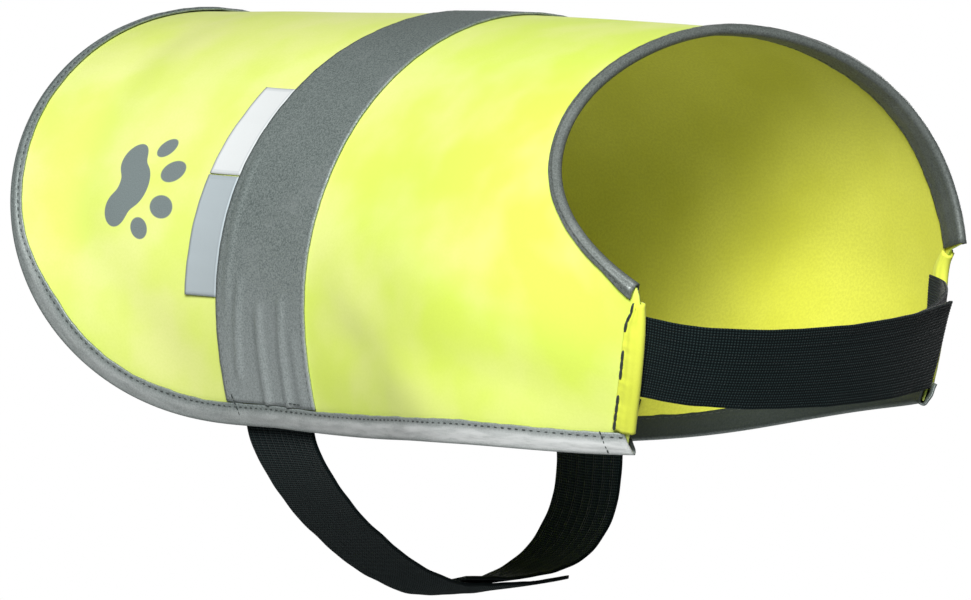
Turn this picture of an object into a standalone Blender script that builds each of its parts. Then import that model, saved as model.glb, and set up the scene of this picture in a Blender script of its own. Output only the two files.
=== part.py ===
"""Dog safety vest, as worn: a hollow saddle of cloth with bound edges, a band, two labels and four straps.

Metres, +X forward to the neck, +Y to the dog's left, +Z up. The origin is on the inside of the back,
on the ridge under the middle of the reflective band, where the wearer's back holds the vest up.

Every piece of cloth is first drawn flat, in the pattern's own lengths: u along the back from the
band's middle, v across from the ridge, positive to the left. place() wraps the flat pattern round a
plain barrel. What lies on the panel is the panel's own surface, moved out.
"""

import bpy
import numpy as np

RIGHT, LEFT = -1.0, 1.0

# Cloth thicknesses, and the gap between two pieces of cloth that touch
PANEL_WALL = 0.0012
TRIM_WALL = 0.0010
STRAP_WALL = 0.0016
GAP = 0.00040

# How far the middle of a strap lies out from the panel's inner face: beneath an edge's trim, or over it
STRAP_OUT = -(GAP + TRIM_WALL + GAP + STRAP_WALL / 2)
STRAP_OVER = PANEL_WALL + GAP + TRIM_WALL + GAP + STRAP_WALL / 2

# The pattern of the back panel
TAIL_END = -0.1690
TAIL_SQUARENESS = (2.25, 2.65)
HEM_START = -0.0172
NECK_CENTRE = 0.1382
FRONTS = {
    # half: from the ridge to the hem; neck: the share of it where the scoop meets the front edge; edge: u
    # there; sharpness: how late the scoop turns forward; slant: how far the front edge goes back to the hem;
    # bow, bow_share: how far it bows back between, and how near the neck; taper: how far the hem
    # draws in; pull: how hard the chest strap pulls the front in
    RIGHT: {"half": 0.2208, "neck": 0.688, "edge": 0.2000, "sharpness": 5.4, "slant": 0.0138, "bow": -0.0045,
            "bow_share": 0.65, "taper": 0.0100, "pull": 28.0},
    LEFT: {"half": 0.2252, "neck": 0.703, "edge": 0.1796, "sharpness": 1.2, "slant": -0.0060, "bow": 0.0140,
           "bow_share": 0.50, "taper": 0.0190, "pull": 34.0},
}

# The barrel that the pattern is wrapped round
TURN = {
    # share of SECTION: degrees that the section has turned from level
    0.00: 0.0,
    0.25: 31.2,
    0.50: 64.3,
    0.75: 97.8,
    1.00: 113.5,
}
SECTION = 0.2263
TURN_SLOPE = -0.044
TAIL_OPENING = 7.9
PULL_START = 0.08
LEAN = 0.134
ROLL_PER_METRE = np.radians(32.0)
ROLL_CENTRE_Z = -0.100
RIDGE_SINK = 0.0757
SINK_POWER = 1.4
SINK_REACH = 0.120

# Trims
HEM_LEAF = 0.0080
TAIL_LEAF = 0.0042
TAIL_LEAF_ENDS = (0.150, 0.190)
NECK_LEAVES = (0.0024, 0.0115)
NECK_CUT_LEAF = 0.0040
NECK_CUT_LENGTH = 0.030
TURNING_WIDTH = 0.0052
TURNING_CLEARANCE = 0.0045
BAND_REAR = -0.0254
BAND_FRONT = 0.0268
BAND_EASE = 0.0104
BAND_EASED = 0.140
LABEL_WIDTH = 0.0170
LABELS = {
    # name: first and last place down the right side from the ridge
    "woven_label": (0.0850, 0.1240),
    "silver_label": (0.1246, 0.1708),
}

# Straps: the rows are a strap's first and last edge, and what lies between them is blended. Each edge
# goes from its sewn end round a loop towards the other side; a span is in degrees of the loop's 180.
SEWN_IN = {"chest_strap": 0.007, "belly_strap": 0.015}
PAST_EDGE = 0.0032
CHEST_EDGES = {
    # upper and lower edge: distance from the ridge where it meets the right and the left front edge,
    # bulge forward, sag in the middle
    "right": ((0.1560, 0.1525, 0.0470, 0.0095), (0.1895, 0.1850, 0.0430, 0.0085)),
    "left": ((0.1585, 0.1600, 0.0440, 0.0080), (0.1870, 0.1850, 0.0400, 0.0080)),
}
CHEST_SQUARENESS = {"right": (1.9, 1.8), "left": (1.9, 1.45)}
CHEST_SPAN = {"right": (0.0, 114.0), "left": (94.0, 180.0)}
BELLY_EDGES = {
    # rear and front edge: place along the hem, drop, shift of the bottom to the left, squareness on the
    # right and on the left side
    "right": ((-0.0220, 0.0640, 0.010, 1.53, 2.7), (0.0160, 0.0580, 0.0, 1.42, 3.4)),
    "left": ((-0.0185, 0.0610, 0.010, 1.53, 2.2), (0.0200, 0.0552, 0.0, 1.42, 3.3)),
}
BELLY_SPAN = {"right": (0.0, 100.0), "left": (90.0, 180.0)}
FREE_ENDS = {"chest_strap": (0.007, 0.001), "belly_strap": (0.031, 0.031)}
LOOP_STEPS = 14
STRAP_COLUMNS = 5

# How finely the surfaces are divided
SCOOP_COLUMNS = 15
FRONT_COLUMNS = 9
PANEL_ROWS = 20
FOLD_STEPS = 3


def fit_turn():
    """The curve through the rows of TURN, as a polynomial without a constant term."""
    share = np.array(list(TURN))[1:]
    angle = np.radians(np.array(list(TURN.values()))[1:])
    powers = np.arange(1, len(share) + 1)
    return np.linalg.solve(share[:, None] ** powers, angle)


TURN_TERMS = fit_turn()


def fullness(u, v):
    """How much of TURN the section makes: less where the tail opens, more where the fronts are pulled in."""
    pull = np.where(v > 0, FRONTS[LEFT]["pull"], FRONTS[RIGHT]["pull"])
    return 1 + TURN_SLOPE * u - TAIL_OPENING * u**2 + pull * np.maximum(u - PULL_START, 0) ** 2


def barrel(u, v, samples=32):
    """The wrapped place of flat points (u, v): the section's direction is summed along it from the ridge.

    The ridge sinks a little towards the neck.
    """
    across = np.abs(v)
    steps = (np.arange(samples) + 0.5) / samples
    share = across[..., None] * steps / SECTION
    turned = sum(term * share ** (k + 1) for k, term in enumerate(TURN_TERMS)) * fullness(u, v)[..., None]
    y = np.sign(v) * across * np.cos(turned).mean(-1)
    sunk = RIDGE_SINK * np.maximum(u, 0) ** SINK_POWER * np.clip(1 - (v / SINK_REACH) ** 2, 0, 1) ** 2
    z = -across * np.sin(turned).mean(-1) - sunk
    roll = ROLL_PER_METRE * np.maximum(u, 0)
    height = z - ROLL_CENTRE_Z
    return np.stack(
        [
            u + LEAN * z,
            y * np.cos(roll) - height * np.sin(roll),
            y * np.sin(roll) + height * np.cos(roll) + ROLL_CENTRE_Z,
        ],
        -1,
    )


def place(u, v, out):
    """The point that lies out metres outside the panel's inner face at flat (u, v)."""
    u, v, out = np.broadcast_arrays(np.asarray(u, float), np.asarray(v, float), out)
    step = 1e-4
    along = barrel(u + step, v) - barrel(u - step, v)
    across = barrel(u, v + step) - barrel(u, v - step)
    normal = np.cross(along, across)
    normal /= np.linalg.norm(normal, axis=-1, keepdims=True)
    return barrel(u, v) + out[..., None] * normal


def half_width(u, side):
    """The pattern's half width at u: full at the tail, drawn in a little towards the front."""
    forward = np.clip(u / FRONTS[side]["edge"], 0, 1)
    return FRONTS[side]["half"] - FRONTS[side]["taper"] * forward**2


def tail_edge(share):
    """The rounded tail's u, for a share of the half width: squarer towards the hem than at the ridge."""
    ridge, hem = TAIL_SQUARENESS
    inside = np.clip(1 - np.abs(share) ** ridge, 0, 1)
    return HEM_START + (TAIL_END - HEM_START) * inside ** (1 / hem)


def front_edge(share, side):
    """The neck scoop's u up to the neck's share of the half width, and the front edge's beyond it."""
    front = FRONTS[side]
    scoop = np.clip(np.abs(share) / front["neck"], 0, 1) ** front["sharpness"]
    straight = np.clip((np.abs(share) - front["neck"]) / (1 - front["neck"]), 0, 1)
    back = front["slant"] * straight + front["bow"] * np.sin(np.pi * straight ** front["bow_share"])
    return NECK_CENTRE + (front["edge"] - NECK_CENTRE) * scoop - back


def flat(share, u, side):
    """Flat points (u, v) at a share of the half width on one side."""
    return np.stack([u, side * np.abs(share) * half_width(u, side)], -1)


def pattern():
    """The flat panel as a grid: rows from the tail to the front, columns from the right hem to the left."""
    scoop = np.sin(np.linspace(0, np.pi / 2, SCOOP_COLUMNS + 1))
    beyond = np.sin(np.linspace(0, np.pi / 2, FRONT_COLUMNS + 1))[1:]
    rows = np.linspace(0, 1, PANEL_ROWS + 1)[:, None]
    halves = []
    for side in (RIGHT, LEFT):
        neck = FRONTS[side]["neck"]
        share = np.concatenate([neck * scoop, neck + (1 - neck) * beyond])
        u = tail_edge(share) + (front_edge(share, side) - tail_edge(share)) * rows
        halves.append(flat(np.broadcast_to(share, u.shape), u, side))
    return np.concatenate([halves[0][:, ::-1], halves[1][:, 1:]], axis=1)


def hem_line(grid, past_front):
    """The pattern's bound edge: the right hem from the front, the tail, the left hem, and both ends drawn out."""
    line = np.concatenate([grid[:0:-1, 0], grid[0], grid[1:, -1]])
    for end, next_to_it in ((0, 1), (-1, -2)):
        along = line[end] - line[next_to_it]
        line[end] += past_front * along / np.linalg.norm(along)
    return line


def neck_line(grid):
    """The pattern's edge round the neck scoop, from the right front edge over the ridge to the left one."""
    return grid[-1, FRONT_COLUMNS:-FRONT_COLUMNS]


def inward(line, cloth_on):
    """Unit flat directions square to the line, to the cloth: +1 is left of its run, -1 right."""
    steps = np.diff(line, axis=0)
    steps /= np.linalg.norm(steps, axis=1, keepdims=True)
    along = np.concatenate([steps[:1], steps[1:] + steps[:-1], steps[-1:]])
    along /= np.linalg.norm(along, axis=1, keepdims=True)
    return cloth_on * np.stack([-along[:, 1], along[:, 0]], -1)


def smooth(value, low, high):
    """A smooth step from 0 at low to 1 at high."""
    share = np.clip((value - low) / (high - low), 0, 1)
    return share**2 * (3 - 2 * share)


def folded(line, cloth_on, outside, inside):
    """The middle of a strip folded over an edge: a grid with the fold's profile across and the line along.

    Its outer and its inner leaf are each one width, or a width for every point of the line.
    """
    half = PANEL_WALL / 2 + GAP + TRIM_WALL / 2
    turn = np.linspace(0, np.pi, FOLD_STEPS + 1)
    outer, inner = (-np.broadcast_to(leaf, len(line))[:, None] for leaf in (outside, inside))
    fold = np.broadcast_to(half * np.sin(turn), (len(line), len(turn)))
    past = np.concatenate([outer, outer / 2, fold, inner / 2, inner], axis=1)
    out = PANEL_WALL / 2 + np.concatenate([[half, half], half * np.cos(turn), [-half, -half]])
    at = line[:, None] - past[..., None] * inward(line, cloth_on)[:, None]
    return place(at[..., 0], at[..., 1], out[None, :])


def add_surface(name, points, wall, offset, collection, material):
    """An open grid of points as a mesh, thickened by Solidify to a closed wall."""
    rows, columns = points.shape[:2]
    index = np.arange(rows * columns).reshape(rows, columns)
    faces = np.stack([index[:-1, :-1], index[1:, :-1], index[1:, 1:], index[:-1, 1:]], -1)
    mesh = bpy.data.meshes.new(name)
    mesh.from_pydata(points.reshape(-1, 3).tolist(), [], faces.reshape(-1, 4).tolist())
    mesh.materials.append(material)
    mesh.shade_smooth()
    obj = bpy.data.objects.new(name, mesh)
    collection.objects.link(obj)
    solidify = obj.modifiers.new("cloth", "SOLIDIFY")
    solidify.thickness = wall
    solidify.offset = offset
    return obj


def add_material(name, colour, roughness, metallic=0.0):
    """A plain finish for the part's solids."""
    material = bpy.data.materials.new(name)
    material.use_nodes = True
    shader = material.node_tree.nodes["Principled BSDF"]
    shader.inputs["Base Color"].default_value = (*colour, 1.0)
    shader.inputs["Roughness"].default_value = roughness
    shader.inputs["Metallic"].default_value = metallic
    return material


def band_rear(v):
    """The u of the band's rear edge: eased forward over the ridge, where the tape bends the most."""
    return BAND_REAR + BAND_EASE * (1 - smooth(np.abs(v), 0, BAND_EASED))


def reflective_band():
    """The band across the back, between the leaves of the hem binding."""
    reach = {side: side * (FRONTS[side]["half"] - HEM_LEAF - TRIM_WALL) for side in (RIGHT, LEFT)}
    v = np.linspace(reach[RIGHT], reach[LEFT], 45)
    u = np.linspace(band_rear(v), np.full(v.shape, BAND_FRONT), 6)
    return place(u, np.broadcast_to(v, u.shape), PANEL_WALL + GAP)


def label(first, last):
    """A small label on the right side, its front edge against the band's rear edge."""
    v = RIGHT * np.linspace(last, first, 6)
    u = band_rear(v) - GAP - np.linspace(LABEL_WIDTH, 0, 4)[:, None]
    return place(u, np.broadcast_to(v, u.shape), PANEL_WALL + GAP)


def hem_outside(line):
    """The hem binding's outer leaf: narrower round the tail, where the edge rolls under."""
    return TAIL_LEAF + (HEM_LEAF - TAIL_LEAF) * smooth(np.abs(line[:, 1]), *TAIL_LEAF_ENDS)


def neck_inside(line):
    """The neck binding's inner leaf: wide, but cut narrow at its right end."""
    lengths = np.concatenate([[0], np.cumsum(np.linalg.norm(np.diff(line, axis=0), axis=1))])
    return NECK_CUT_LEAF + (NECK_LEAVES[1] - NECK_CUT_LEAF) * smooth(lengths, 0, NECK_CUT_LENGTH)


def front_turning(side, grid):
    """The turned front edge, from below the neck binding's cut end to above the hem binding."""
    line = grid[-1, FRONT_COLUMNS::-1] if side == RIGHT else grid[-1, -FRONT_COLUMNS - 1 :]
    neck = neck_line(grid)
    neck_cut = inward(neck, 1.0)[0 if side == RIGHT else -1] * neck_inside(neck)[0 if side == RIGHT else -1]
    first = np.abs(line[0, 1]) + np.abs(neck_cut[1]) + TURNING_CLEARANCE
    last = np.abs(line[-1, 1]) - HEM_LEAF - TURNING_CLEARANCE / 2
    across = np.linspace(first, last, FRONT_COLUMNS)
    u = np.interp(across, np.abs(line[:, 1]), line[:, 0])
    return folded(np.stack([u, side * across], -1), side, TURNING_WIDTH, TURNING_WIDTH)


def loop(ends, bulge, squareness, span):
    """A round curve from ends[0] to ends[1], pushed out by the vector bulge; span is in degrees of 180."""
    middle, reach = (ends[0] + ends[1]) / 2, (ends[1] - ends[0]) / 2
    angle = np.radians(np.linspace(*span, LOOP_STEPS))[:, None]
    power = 2 / np.where(angle < np.pi / 2, *squareness)
    along = -np.sign(np.cos(angle)) * np.abs(np.cos(angle)) ** power
    return middle + reach * along + np.asarray(bulge) * np.abs(np.sin(angle)) ** power


def strap_edge(sewn, ends, bulge, squareness, span, free_end):
    """One edge of a strap: its sewn points, then the loop; one from the right has a straight free end."""
    run = loop(ends, bulge, squareness, span)
    if span[0] > 0:
        return np.concatenate([run[:-1], sewn[::-1]])
    tip = run[-1] - run[-2]
    return np.concatenate([sewn, run[1:], [run[-1] + free_end * tip / np.linalg.norm(tip)]])


def chest_strap(where):
    """One chest strap, sewn inside its own front edge, then round the chest; the right one ends outside."""
    own, other = (RIGHT, LEFT) if where == "right" else (LEFT, RIGHT)
    lines = []
    edges = np.linspace(*CHEST_EDGES[where], STRAP_COLUMNS)
    free_ends = np.linspace(*FREE_ENDS["chest_strap"], STRAP_COLUMNS)
    for (right, left, bulge, sag), free_end in zip(edges, free_ends):
        met = {}
        for side, across in ((RIGHT, right), (LEFT, left)):
            inset = np.array([SEWN_IN["chest_strap"], SEWN_IN["chest_strap"] / 2, -PAST_EDGE])
            u = front_edge(across / half_width(np.array(FRONTS[side]["edge"]), side), side) - inset
            met[side] = place(u, side * across, STRAP_OVER if where == "right" and side == other else STRAP_OUT)
        ends = (met[RIGHT][-1], met[LEFT][-1])
        push = (bulge, 0, -sag)
        lines.append(strap_edge(met[own], ends, push, CHEST_SQUARENESS[where], CHEST_SPAN[where], free_end))
    return np.stack(lines, axis=1)


def belly_strap(where):
    """One belly strap, sewn inside its own hem, then down and round under the belly; the left lies inside."""
    own = RIGHT if where == "right" else LEFT
    lines = []
    edges = np.linspace(*BELLY_EDGES[where], STRAP_COLUMNS)
    free_ends = np.linspace(*FREE_ENDS["belly_strap"], STRAP_COLUMNS)
    for (along, drop, shift, *roundness), free_end in zip(edges, free_ends):
        inset = np.array([SEWN_IN["belly_strap"], SEWN_IN["belly_strap"] / 2, -PAST_EDGE])
        met = {side: place(along, side * (half_width(along, side) - inset), STRAP_OUT) for side in FRONTS}
        ends = (met[RIGHT][-1], met[LEFT][-1])
        push = (0, shift, -drop)
        lines.append(strap_edge(met[own], ends, push, roundness, BELLY_SPAN[where], free_end))
    return np.stack(lines, axis=1)


def main():
    for obj in list(bpy.data.objects):
        bpy.data.objects.remove(obj)
    vest = bpy.data.collections.new("dog_safety_vest")
    bpy.context.scene.collection.children.link(vest)

    yellow = add_material("yellow_cloth", (0.80, 0.95, 0.12), 0.75)
    grey = add_material("reflective_cloth", (0.22, 0.26, 0.26), 0.45, 0.3)
    dark = add_material("dark_elastic", (0.012, 0.020, 0.022), 0.85)
    white = add_material("white_label", (0.85, 0.87, 0.90), 0.5)
    silver = add_material("silver_label", (0.45, 0.50, 0.58), 0.35, 0.3)

    grid = pattern()
    panel = place(grid[..., 0], grid[..., 1], 0.0)
    add_surface("back_panel", panel, PANEL_WALL, 1.0, vest, yellow)
    add_surface("reflective_band", reflective_band(), TRIM_WALL, 1.0, vest, grey)
    for name, material in (("woven_label", white), ("silver_label", silver)):
        add_surface(name, label(*LABELS[name]), TRIM_WALL, 1.0, vest, material)

    fold_reach = PANEL_WALL / 2 + GAP + TRIM_WALL
    hem, neck = hem_line(grid, fold_reach), neck_line(grid)
    outside = hem_outside(hem)
    add_surface("hem_binding", folded(hem, -1.0, outside, 2 * HEM_LEAF - outside), TRIM_WALL, 0.0, vest, grey)
    add_surface("neck_binding", folded(neck, 1.0, NECK_LEAVES[0], neck_inside(neck)), TRIM_WALL, 0.0, vest, grey)
    for side, where in ((RIGHT, "right"), (LEFT, "left")):
        add_surface("front_turning_" + where, front_turning(side, grid), TRIM_WALL, 0.0, vest, yellow)
    for where in ("right", "left"):
        add_surface("chest_strap_" + where, chest_strap(where), STRAP_WALL, 0.0, vest, dark)
        add_surface("belly_strap_" + where, belly_strap(where), STRAP_WALL, 0.0, vest, dark)


main()
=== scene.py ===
"""Dresses the dog safety vest in cloth, reflective tape, elastic and thread.

Metres, +X forward to the neck, +Y to the dog's left, +Z up. The vest is drawn flat first, in the
pattern's own lengths: u along the back from the middle of the reflective band, v across from the
ridge, positive to the left. A worn form then wraps the flat cut round a plain barrel, as in the
part's own source, and every piece lies on that form, moved out by its soft folds.
"""

import logging
import math
from dataclasses import dataclass
from enum import Enum

import bpy
import numpy as np
from mathutils import Matrix, Vector


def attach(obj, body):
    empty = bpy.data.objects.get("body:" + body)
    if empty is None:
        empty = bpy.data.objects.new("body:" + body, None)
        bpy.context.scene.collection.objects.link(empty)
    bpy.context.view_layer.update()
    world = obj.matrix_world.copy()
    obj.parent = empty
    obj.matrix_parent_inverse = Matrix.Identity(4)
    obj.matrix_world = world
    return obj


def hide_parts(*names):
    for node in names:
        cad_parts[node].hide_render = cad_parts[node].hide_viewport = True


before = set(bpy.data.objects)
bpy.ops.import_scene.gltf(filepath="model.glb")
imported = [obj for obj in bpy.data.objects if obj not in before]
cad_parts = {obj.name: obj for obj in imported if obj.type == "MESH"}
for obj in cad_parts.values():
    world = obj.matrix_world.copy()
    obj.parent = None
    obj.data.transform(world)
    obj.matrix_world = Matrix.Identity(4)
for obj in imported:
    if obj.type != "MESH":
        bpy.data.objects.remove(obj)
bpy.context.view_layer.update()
BODY = "root"
PATTERN_MAP = "pattern"
LOG = logging.getLogger("dog_safety_vest")

Pair = tuple[float, float]
Colour = tuple[float, float, float]
Material = bpy.types.Material
Piece = bpy.types.Object


class Side(Enum):
    """The two sides of the vest, with the sign of v and of Y."""

    RIGHT = -1.0
    LEFT = 1.0


# The cut and the worn form


@dataclass(frozen=True)
class FrontCut:
    """How one side is cut; shares are of its half width, the rest is in metres."""

    half: float
    neck: float
    edge: float
    sharpness: float
    slant: float
    bow: float
    bow_share: float
    taper: float


@dataclass(frozen=True)
class SaddleCut:
    """The flat pattern of the back panel, with its tail, its hems, its neck scoop and its two fronts."""

    tail_end: float = -0.1690
    tail_squareness: Pair = (2.25, 2.65)
    hem_start: float = -0.0172
    neck_centre: float = 0.1382
    right: FrontCut = FrontCut(0.2208, 0.688, 0.2000, 5.4, 0.0138, -0.0045, 0.65, 0.0100)
    left: FrontCut = FrontCut(0.2252, 0.703, 0.1796, 1.2, -0.0060, 0.0140, 0.50, 0.0190)
    tail_points: int = 401
    hem_points: int = 120
    neck_points: int = 400
    front_points: int = 600

    def front(self, side: Side) -> FrontCut:
        """The cut of the front on one side."""
        return self.right if side is Side.RIGHT else self.left

    def width_at(self, u: np.ndarray | float, side: Side) -> np.ndarray:
        """The half width at u: full at the tail and drawn in by the square of the way to the front.

        Args:
            u: Places along the back.
            side: The side of the ridge.

        Returns:
            The distance from the ridge to the hem at each u.
        """
        front = self.front(side)
        return front.half - front.taper * np.clip(u / front.edge, 0, 1) ** 2

    def tail_edge(self, share: np.ndarray) -> np.ndarray:
        """The u of the round tail: a superellipse, squarer towards the hem than at the ridge.

        Args:
            share: Distance from the ridge as a share of the half width.

        Returns:
            u of the tail's edge.
        """
        ridge, hem = self.tail_squareness
        inside = np.clip(1 - np.abs(share) ** ridge, 0, 1)
        return self.hem_start + (self.tail_end - self.hem_start) * inside ** (1 / hem)

    def front_edge(self, share: np.ndarray | float, side: Side) -> np.ndarray:
        """The u of the front: a power curve round the neck, then a straight edge with a bow in it.

        Args:
            share: Distance from the ridge as a share of the half width.
            side: The side of the ridge.

        Returns:
            u of the neck scoop or of the front edge.
        """
        front = self.front(side)
        scoop = np.clip(np.abs(share) / front.neck, 0, 1) ** front.sharpness
        straight = np.clip((np.abs(share) - front.neck) / (1 - front.neck), 0, 1)
        back = front.slant * straight + front.bow * np.sin(np.pi * straight**front.bow_share)
        return self.neck_centre + (front.edge - self.neck_centre) * scoop - back

    def flat(self, u: np.ndarray, share: np.ndarray | float, side: Side) -> np.ndarray:
        """Flat points (u, v) at a share of the half width on one side."""
        return np.stack(np.broadcast_arrays(u, side.value * share * self.width_at(u, side)), -1)

    def grid(self, rows: int, scoop_columns: int, front_columns: int) -> np.ndarray:
        """The whole cut as a grid from the tail edge to the front and from the right hem to the left.

        Columns gather by a quarter sine towards the corner of the neck and towards the hem.

        Args:
            rows: Divisions from tail to front.
            scoop_columns: Divisions from the ridge to the corner of the neck.
            front_columns: Divisions from there to the hem.

        Returns:
            Points (u, v) of the grid.
        """
        scoop = np.sin(np.linspace(0, np.pi / 2, scoop_columns + 1))
        beyond = np.sin(np.linspace(0, np.pi / 2, front_columns + 1))[1:]
        down = np.linspace(0, 1, rows + 1)[:, None]
        halves = []
        for side in Side:
            neck = self.front(side).neck
            share = np.concatenate([neck * scoop, neck + (1 - neck) * beyond])
            tail = self.tail_edge(share)
            halves.append(self.flat(tail + (self.front_edge(share, side) - tail) * down, share, side))
        right, left = halves
        return np.concatenate([right[:, ::-1], left[:, 1:]], axis=1)

    def hem_path(self, past_front: float, step: float) -> np.ndarray:
        """The bound edge in one run: right hem from the front, round the tail, left hem to the front.

        Args:
            past_front: How far both ends are drawn out past the front edges.
            step: Distance between points.

        Returns:
            Points (u, v) at even distances.
        """
        share = np.sin(np.linspace(-np.pi / 2, np.pi / 2, self.tail_points))
        half = np.where(share < 0, self.right.half, self.left.half)
        tail = np.stack([self.tail_edge(share), share * half], -1)
        runs = []
        for side in Side:
            u = np.linspace(self.hem_start, self.front_edge(1.0, side) + past_front, self.hem_points)
            runs.append(self.flat(u[1:], 1.0, side))
        return evenly(np.concatenate([runs[0][::-1], tail, runs[1]]), step)

    def neck_path(self, step: float) -> np.ndarray:
        """The neck scoop in one run, from the right front over the ridge to the left one.

        Args:
            step: Distance between points.

        Returns:
            Points (u, v) at even distances.
        """
        runs = []
        for side in Side:
            share = self.front(side).neck * np.linspace(0, 1, self.neck_points)
            runs.append(self.flat(self.front_edge(share, side), share, side))
        return evenly(np.concatenate([runs[0][:0:-1], runs[1]]), step)

    def front_path(self, side: Side, first: float, last: float, step: float) -> np.ndarray:
        """The front edge on one side, between two distances from the ridge.

        Args:
            side: The side of the ridge.
            first: Distance from the ridge at the upper end.
            last: Distance from the ridge at the lower end.
            step: Distance between points.

        Returns:
            Points (u, v) at even distances, from the neck down.
        """
        share = np.linspace(self.front(side).neck, 1, self.front_points)
        points = self.flat(self.front_edge(share, side), share, side)
        across = np.abs(points[:, 1])
        return evenly(points[(across >= first) & (across <= last)], step)


def evenly(points: np.ndarray, step: float) -> np.ndarray:
    """Points at even distances along a run of points.

    Args:
        points: The run, one point a row.
        step: Distance wanted between points.

    Returns:
        The new points, with both ends kept.
    """
    return evened(points, max(2, int(round(distances(points)[-1] / step)) + 1))


def evened(points: np.ndarray, count: int) -> np.ndarray:
    """The same run of points as evenly, but as a number of points."""
    way = distances(points)
    at = np.linspace(0, way[-1], count)
    return np.stack([np.interp(at, way, column) for column in points.T], -1)


def eased(points: np.ndarray, times: int) -> np.ndarray:
    """A run of points with its bends eased: each inner point goes half way to its neighbours' middle."""
    for _ in range(times):
        middle = (points[:-2] + points[2:]) / 2
        points = np.concatenate([points[:1], (points[1:-1] + middle) / 2, points[-1:]])
    return points


def distances(points: np.ndarray) -> np.ndarray:
    """The way walked along a run of points, from its first point to each."""
    return np.concatenate([[0.0], np.cumsum(np.linalg.norm(np.diff(points, axis=0), axis=1))])


def smooth(value: np.ndarray, low: float, high: float) -> np.ndarray:
    """A smooth step from 0 at low to 1 at high."""
    share = np.clip((value - low) / (high - low), 0, 1)
    return share**2 * (3 - 2 * share)


# Size, quickness and share of the phase of each sine in an uneven wave
WAVES = ((0.5, 1.0, 1.0), (0.3, 1.73, 2.1), (0.2, 2.91, 0.7))


def wander(at: np.ndarray, period: float, phase: float) -> np.ndarray:
    """A soft uneven wave between about -1 and 1: three sines whose periods never meet.

    Args:
        at: Distances along a piece.
        period: The longest of the three periods.
        phase: Where the wave starts, in radians.

    Returns:
        The wave at each distance.
    """
    turn = 2 * np.pi * at / period
    return sum(size * np.sin(quickness * turn + share * phase) for size, quickness, share in WAVES)


@dataclass(frozen=True)
class Fold:
    """A soft ridge or trough: a bell across a flat line, faded out past the line's ends."""

    start: Pair
    end: Pair
    width: float
    height: float
    fade: float = 1.6

    def rise(self, u: np.ndarray, v: np.ndarray) -> np.ndarray:
        """How far the fold lifts the cloth: height times a bell of the distance from the line.

        Args:
            u: Flat places along the back.
            v: Flat places across the back.

        Returns:
            The lift in metres.
        """
        line = np.subtract(self.end, self.start)
        length = float(np.hypot(*line))
        along = ((u - self.start[0]) * line[0] + (v - self.start[1]) * line[1]) / length
        aside = ((u - self.start[0]) * line[1] - (v - self.start[1]) * line[0]) / length
        past = np.maximum(0, np.maximum(-along, along - length))
        return self.height * np.exp(-((aside / self.width) ** 2) - (past / (self.fade * self.width)) ** 2)


@dataclass(frozen=True)
class WornForm:
    """The barrel that the flat cut is wrapped round, with the folds of the cloth on it."""

    turn: tuple[float, ...] = (31.2, 64.3, 97.8, 113.5)
    section: float = 0.2263
    slope: float = -0.044
    tail_opening: float = 7.9
    pull_start: float = 0.08
    right_pull: float = 28.0
    left_pull: float = 34.0
    lean: float = 0.134
    roll_per_metre: float = math.radians(32.0)
    roll_centre: float = -0.100
    sink: float = 0.0757
    sink_power: float = 1.4
    sink_reach: float = 0.120
    folds: tuple[Fold, ...] = ()

    def turned(self, share: np.ndarray) -> np.ndarray:
        """How far the section has turned from level: the polynomial through the quarter points of turn.

        Args:
            share: Shares of the section's half width.

        Returns:
            The turn in radians.
        """
        powers = np.arange(1, len(self.turn) + 1)
        at = powers / len(self.turn)
        terms = np.linalg.solve(at[:, None] ** powers, np.radians(self.turn))
        return sum(term * share**power for term, power in zip(terms, powers))

    def barrel(self, u: np.ndarray, v: np.ndarray, samples: int = 32) -> np.ndarray:
        """The wrapped place of flat points: the section's direction is summed from the ridge out.

        The ridge sinks towards the neck, by a power of the way there.

        Args:
            u: Flat places along the back.
            v: Flat places across the back.
            samples: Steps of the sum.

        Returns:
            Points on the inside of the cloth.
        """
        across = np.abs(v)
        steps = (np.arange(samples) + 0.5) / samples
        pull = np.where(v > 0, self.left_pull, self.right_pull)
        full = 1 + self.slope * u - self.tail_opening * u**2 + pull * np.maximum(u - self.pull_start, 0) ** 2
        angle = self.turned(across[..., None] * steps / self.section) * full[..., None]
        near_ridge = np.clip(1 - (v / self.sink_reach) ** 2, 0, 1) ** 2
        y = np.sign(v) * across * np.cos(angle).mean(-1)
        z = -across * np.sin(angle).mean(-1) - self.sink * np.maximum(u, 0) ** self.sink_power * near_ridge
        roll = self.roll_per_metre * np.maximum(u, 0)
        height = z - self.roll_centre
        return np.stack(
            [
                u + self.lean * z,
                y * np.cos(roll) - height * np.sin(roll),
                y * np.sin(roll) + height * np.cos(roll) + self.roll_centre,
            ],
            -1,
        )

    def rise(self, u: np.ndarray, v: np.ndarray) -> np.ndarray:
        """The lift of all the folds together at flat points."""
        return sum((fold.rise(u, v) for fold in self.folds), np.zeros(np.shape(u)))

    def place(self, u: np.ndarray, v: np.ndarray, out: np.ndarray, folded: bool = True) -> np.ndarray:
        """The point that lies out metres outside the inner face of the cloth.

        Args:
            u: Flat places along the back.
            v: Flat places across the back.
            out: Distances out, along the form's own normal.
            folded: Whether the cloth's folds lift the point too.

        Returns:
            Points in the part's frame.
        """
        u, v, out = np.broadcast_arrays(np.asarray(u, float), np.asarray(v, float), np.asarray(out, float))
        step = 1e-4
        along = self.barrel(u + step, v) - self.barrel(u - step, v)
        across = self.barrel(u, v + step) - self.barrel(u, v - step)
        normal = np.cross(along, across)
        normal /= np.linalg.norm(normal, axis=-1, keepdims=True)
        lift = out + self.rise(u, v) if folded else out
        return self.barrel(u, v) + lift[..., None] * normal


# Walls and gaps of the cloths, as in the part's solids


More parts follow.
